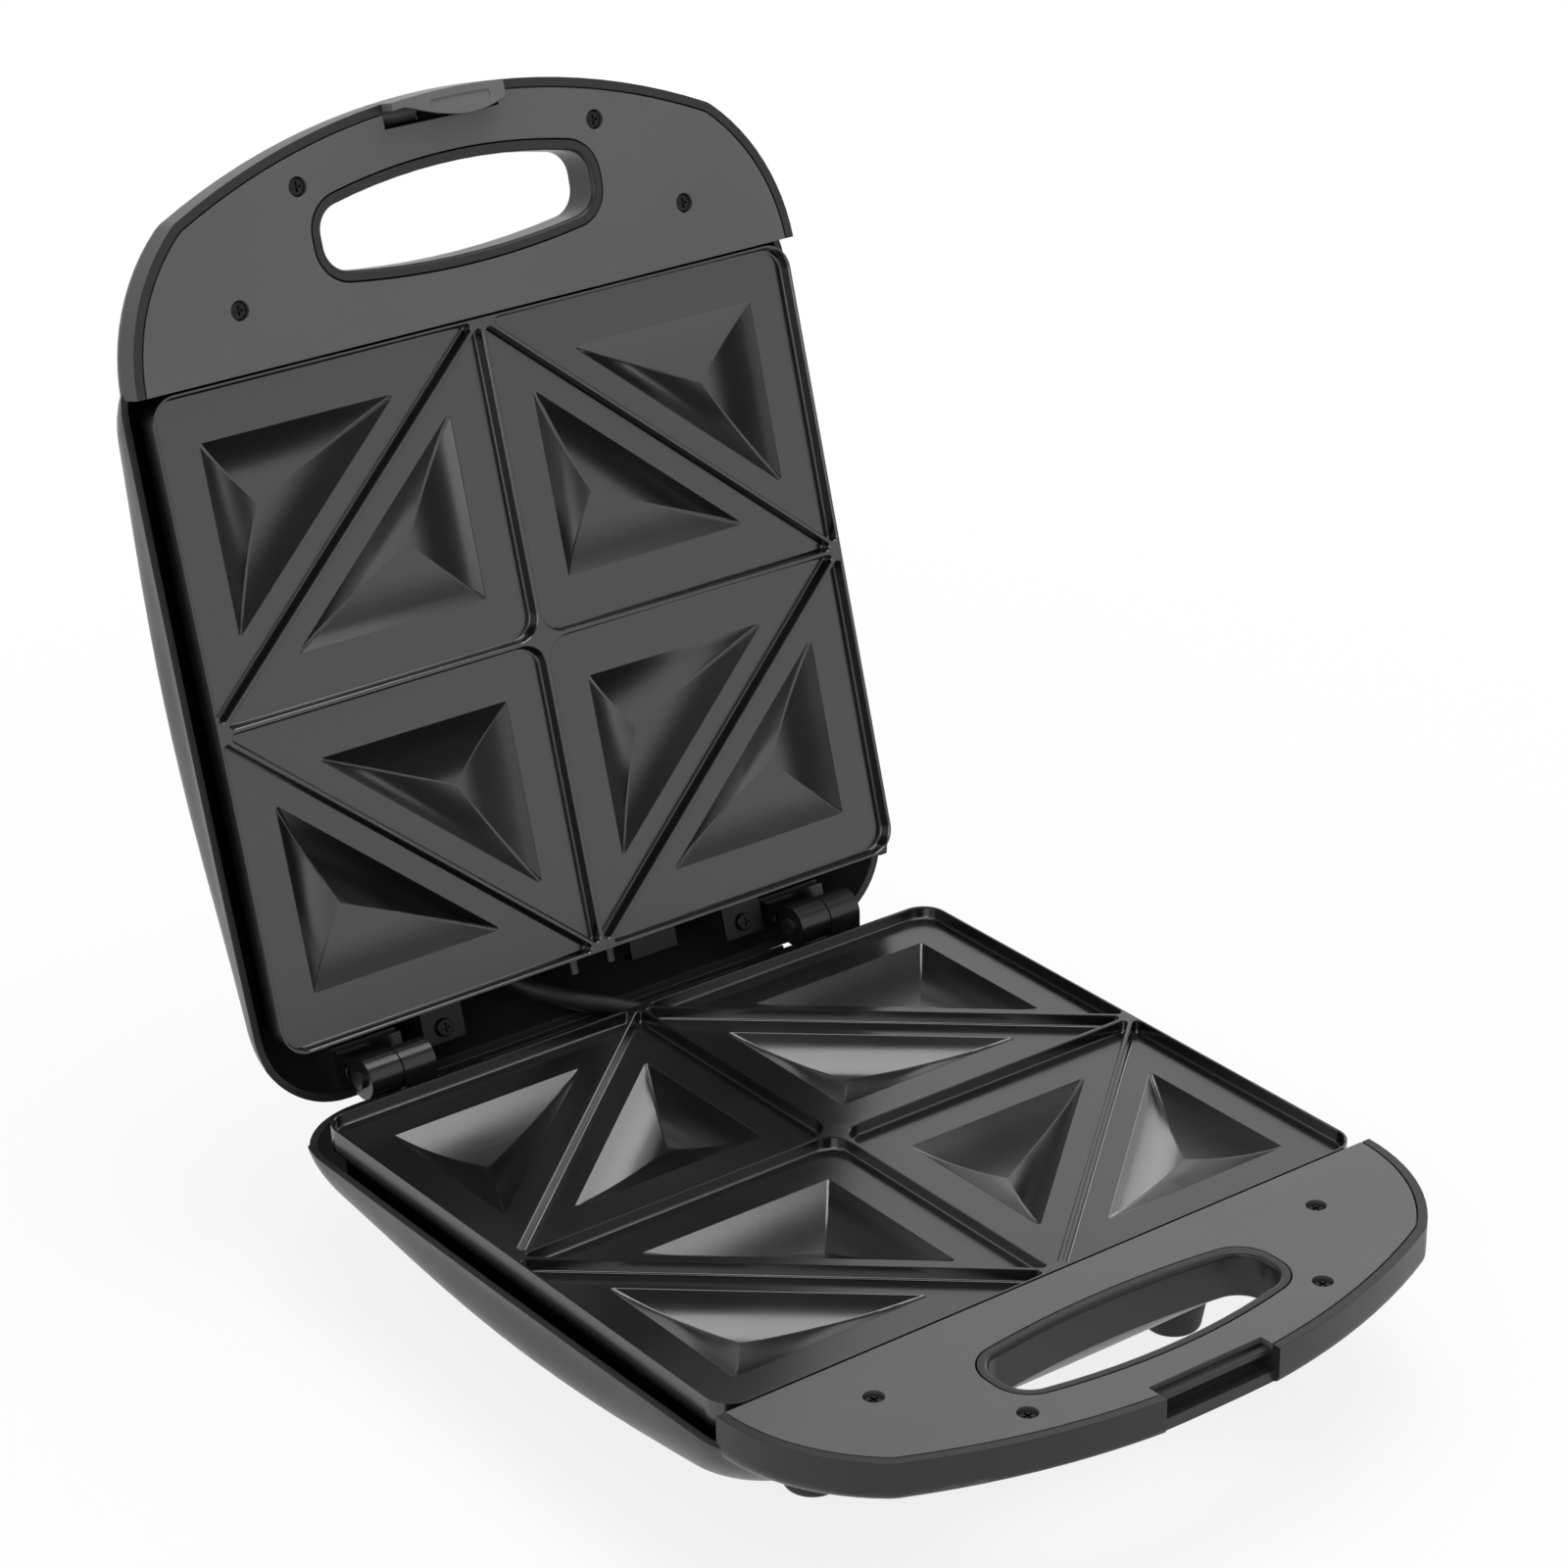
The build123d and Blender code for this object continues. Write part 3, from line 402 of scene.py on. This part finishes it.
# %% Sleeve
sleeve_radius = 3.4 * mm
plate_low, plate_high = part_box("lower_cooking_plate")
plate_middle = (plate_low + plate_high) / 2
sleeve_route = ((32.0, 80.2, -31.0), (32.0, 106.0, -31.0), (19.0, 120.5, -14.0))


def tube_along(name, points, radius, order=3, steps=16, sides=10):
    """A smooth round tube, with closed ends, along a NURBS line led by a few points."""
    curve = bpy.data.curves.new(name, "CURVE")
    curve.dimensions = "3D"
    spline = curve.splines.new("NURBS")
    spline.points.add(len(points) - 1)
    for control, point in zip(spline.points, points):
        control.co = (*point, 1)
    spline.order_u = order
    spline.use_endpoint_u = True
    spline.resolution_u = steps
    curve.bevel_depth = radius
    curve.bevel_resolution = sides
    curve.use_fill_caps = True
    drawn = bpy.data.objects.new(name + "_line", curve)
    mesh = bpy.data.meshes.new_from_object(drawn)
    bpy.data.objects.remove(drawn)
    bpy.data.curves.remove(curve)
    for face in mesh.polygons:
        face.use_smooth = True
    return in_scene(name, mesh)


middle_line = plate_middle * Vector((0, 1, 0))
rim_height = Vector((0, 0, rim_level))
lower_points = [middle_line + Vector(point) * mm + rim_height for point in sleeve_route]
swing = Matrix.Rotation(-open_angle, 3, "X")
upper_points = []
for point in reversed(lower_points):
    arm = point - hinge_point
    upper_points.append(hinge_point + swing @ Vector((-arm.x, arm.y, -arm.z)))

sleeve = tube_along("wire_sleeve_smooth", lower_points + upper_points, sleeve_radius)
sleeve.data.materials.append(finishes["sleeve_rubber"])
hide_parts("wire_sleeve")
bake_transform(sleeve)
print("sleeve", len(sleeve.data.polygons), "faces")

# %% [markdown]
# ## Floor and light
# The object stands in a white studio.  The floor and the world look white to the camera
# and in reflections, but light the object at a plain level, so a finish renders about as
# it is written.  Near the object the floor is part white glow and part plain paint: the
# paint takes the object's soft shadow, and it fades out further off.  Glossy black things
# are photographed between dark screens: what the plates mirror is then partly dark, and
# the walls of their pockets stand out.  The screens here are overhead, at the right and
# beside the camera, in reflections alone.


# %% Rays that see the studio
def seen_directly(start):
    """One for a ray from the camera, a mirror or a glass; nought for scattered light."""
    ray = start.tree.nodes.new("ShaderNodeLightPath")
    wanted = ("Is Camera Ray", "Is Glossy Ray", "Is Transmission Ray")
    camera_ray, glossy_ray, clear_ray = (Socket(start.tree, ray.outputs[name]) for name in wanted)
    return camera_ray.math("MAXIMUM", camera_ray, glossy_ray.math("MAXIMUM", glossy_ray, clear_ray))


# %% Studio floor
floor_size = 12.0
floor_drop = 0.1 * mm
paint_share = 0.16
paint_from_to = (0.2, 0.7)

floor_mesh = bpy.data.meshes.new("floor")
half = floor_size / 2
corners = [(x * half, y * half, 0) for x, y in ((-1, -1), (1, -1), (1, 1), (-1, 1))]
floor_mesh.from_pydata(corners, [], [(0, 1, 2, 3)])
floor = in_scene("floor", floor_mesh)
floor.location.z = -floor_drop

white = bpy.data.materials.new("studio_white")
white.use_nodes = True
tree = white.node_tree
shader = tree.nodes["Principled BSDF"]
shader.inputs["Base Color"].default_value = grey(0.82)
shader.inputs["Roughness"].default_value = 0.9
shader.inputs["Specular IOR Level"].default_value = 0.1
start = Socket(tree)
glow = start.node("ShaderNodeEmission", inputs={"Color": (1, 1, 1, 1), "Strength": 1.0})
paint = Socket(tree, shader.outputs["BSDF"])
spot = start.node("ShaderNodeTexCoord", output="Object")
away = start.node("ShaderNodeVectorMath", {"operation": "LENGTH"}, {0: spot}, output="Value")
painted = paint_share * (1 - away.ramp(*paint_from_to))
mixed = start.node("ShaderNodeMixShader", inputs={0: seen_directly(start) * (1 - painted),
                                                   1: paint, 2: glow})
tree.links.new(mixed.output, tree.nodes["Material Output"].inputs["Surface"])
floor_mesh.materials.append(white)
print("floor", floor_size, "m across, painted up to", paint_from_to[1], "m out")

# %% Studio world
world_level = 0.55
world_tint = (0.97, 0.985, 1, 1)
screen_level = 0.1
ceiling_from_to = (0.56, 0.8)
screens = (((0.97, -0.22, 0.1), (0.8, 0.93)), ((-0.35, -0.92, 0.15), (0.86, 0.96)))

world = bpy.data.worlds.new("studio")
world.use_nodes = True
tree = world.node_tree
start = Socket(tree)
light = start.node("ShaderNodeBackground", inputs={"Color": world_tint,
                                                   "Strength": world_level})
towards = start.node("ShaderNodeTexCoord", output="Generated")


def screened(middle, spread):
    """One in a screened part of the studio, nought outside it."""
    nearness = towards.node("ShaderNodeVectorMath", {"operation": "DOT_PRODUCT"},
                            {0: towards, 1: Vector(middle).normalized()}, output="Value")
    return nearness.ramp(*spread)


dark = screened((0, 0, 1), ceiling_from_to)
for screen, spread in screens:
    dark = dark.math("MAXIMUM", dark, screened(screen, spread))
camera_ray = Socket(tree, tree.nodes.new("ShaderNodeLightPath").outputs["Is Camera Ray"])
backdrop = (dark * (1 - camera_ray)).between(grey(1.0), grey(screen_level))
shown = start.node("ShaderNodeBackground", inputs={"Color": backdrop, "Strength": 1.0})
mixed = start.node("ShaderNodeMixShader", inputs={0: seen_directly(start), 1: light, 2: shown})
tree.links.new(mixed.output, tree.nodes["World Output"].inputs["Surface"])
bpy.context.scene.world = world
bpy.context.scene.view_settings.view_transform = "Standard"
print("world with", 1 + len(screens), "dark screens")


# %% Soft boxes
def soft_box(name, place, size, power, aim=Vector((0, 0, 0.12))):
    """A square of soft light turned towards the object."""
    lamp = bpy.data.lights.new(name, "AREA")
    lamp.shape = "RECTANGLE"
    lamp.size, lamp.size_y = size
    lamp.energy = power
    holder = in_scene(name, lamp)
    holder.location = place
    holder.rotation_euler = (aim - Vector(place)).to_track_quat("-Z", "Y").to_euler()
    return holder


boxes = [soft_box("overhead", (0.3, 0.1, 1.9), (1.6, 1.2), 22),
         soft_box("front_left", (-1.5, -1.2, 0.9), (1.0, 1.2), 8),
         soft_box("right", (1.9, 0.45, 0.85), (0.9, 0.9), 4.5)]
print(len(boxes), "soft boxes,", sum(box.data.energy for box in boxes), "W in all")
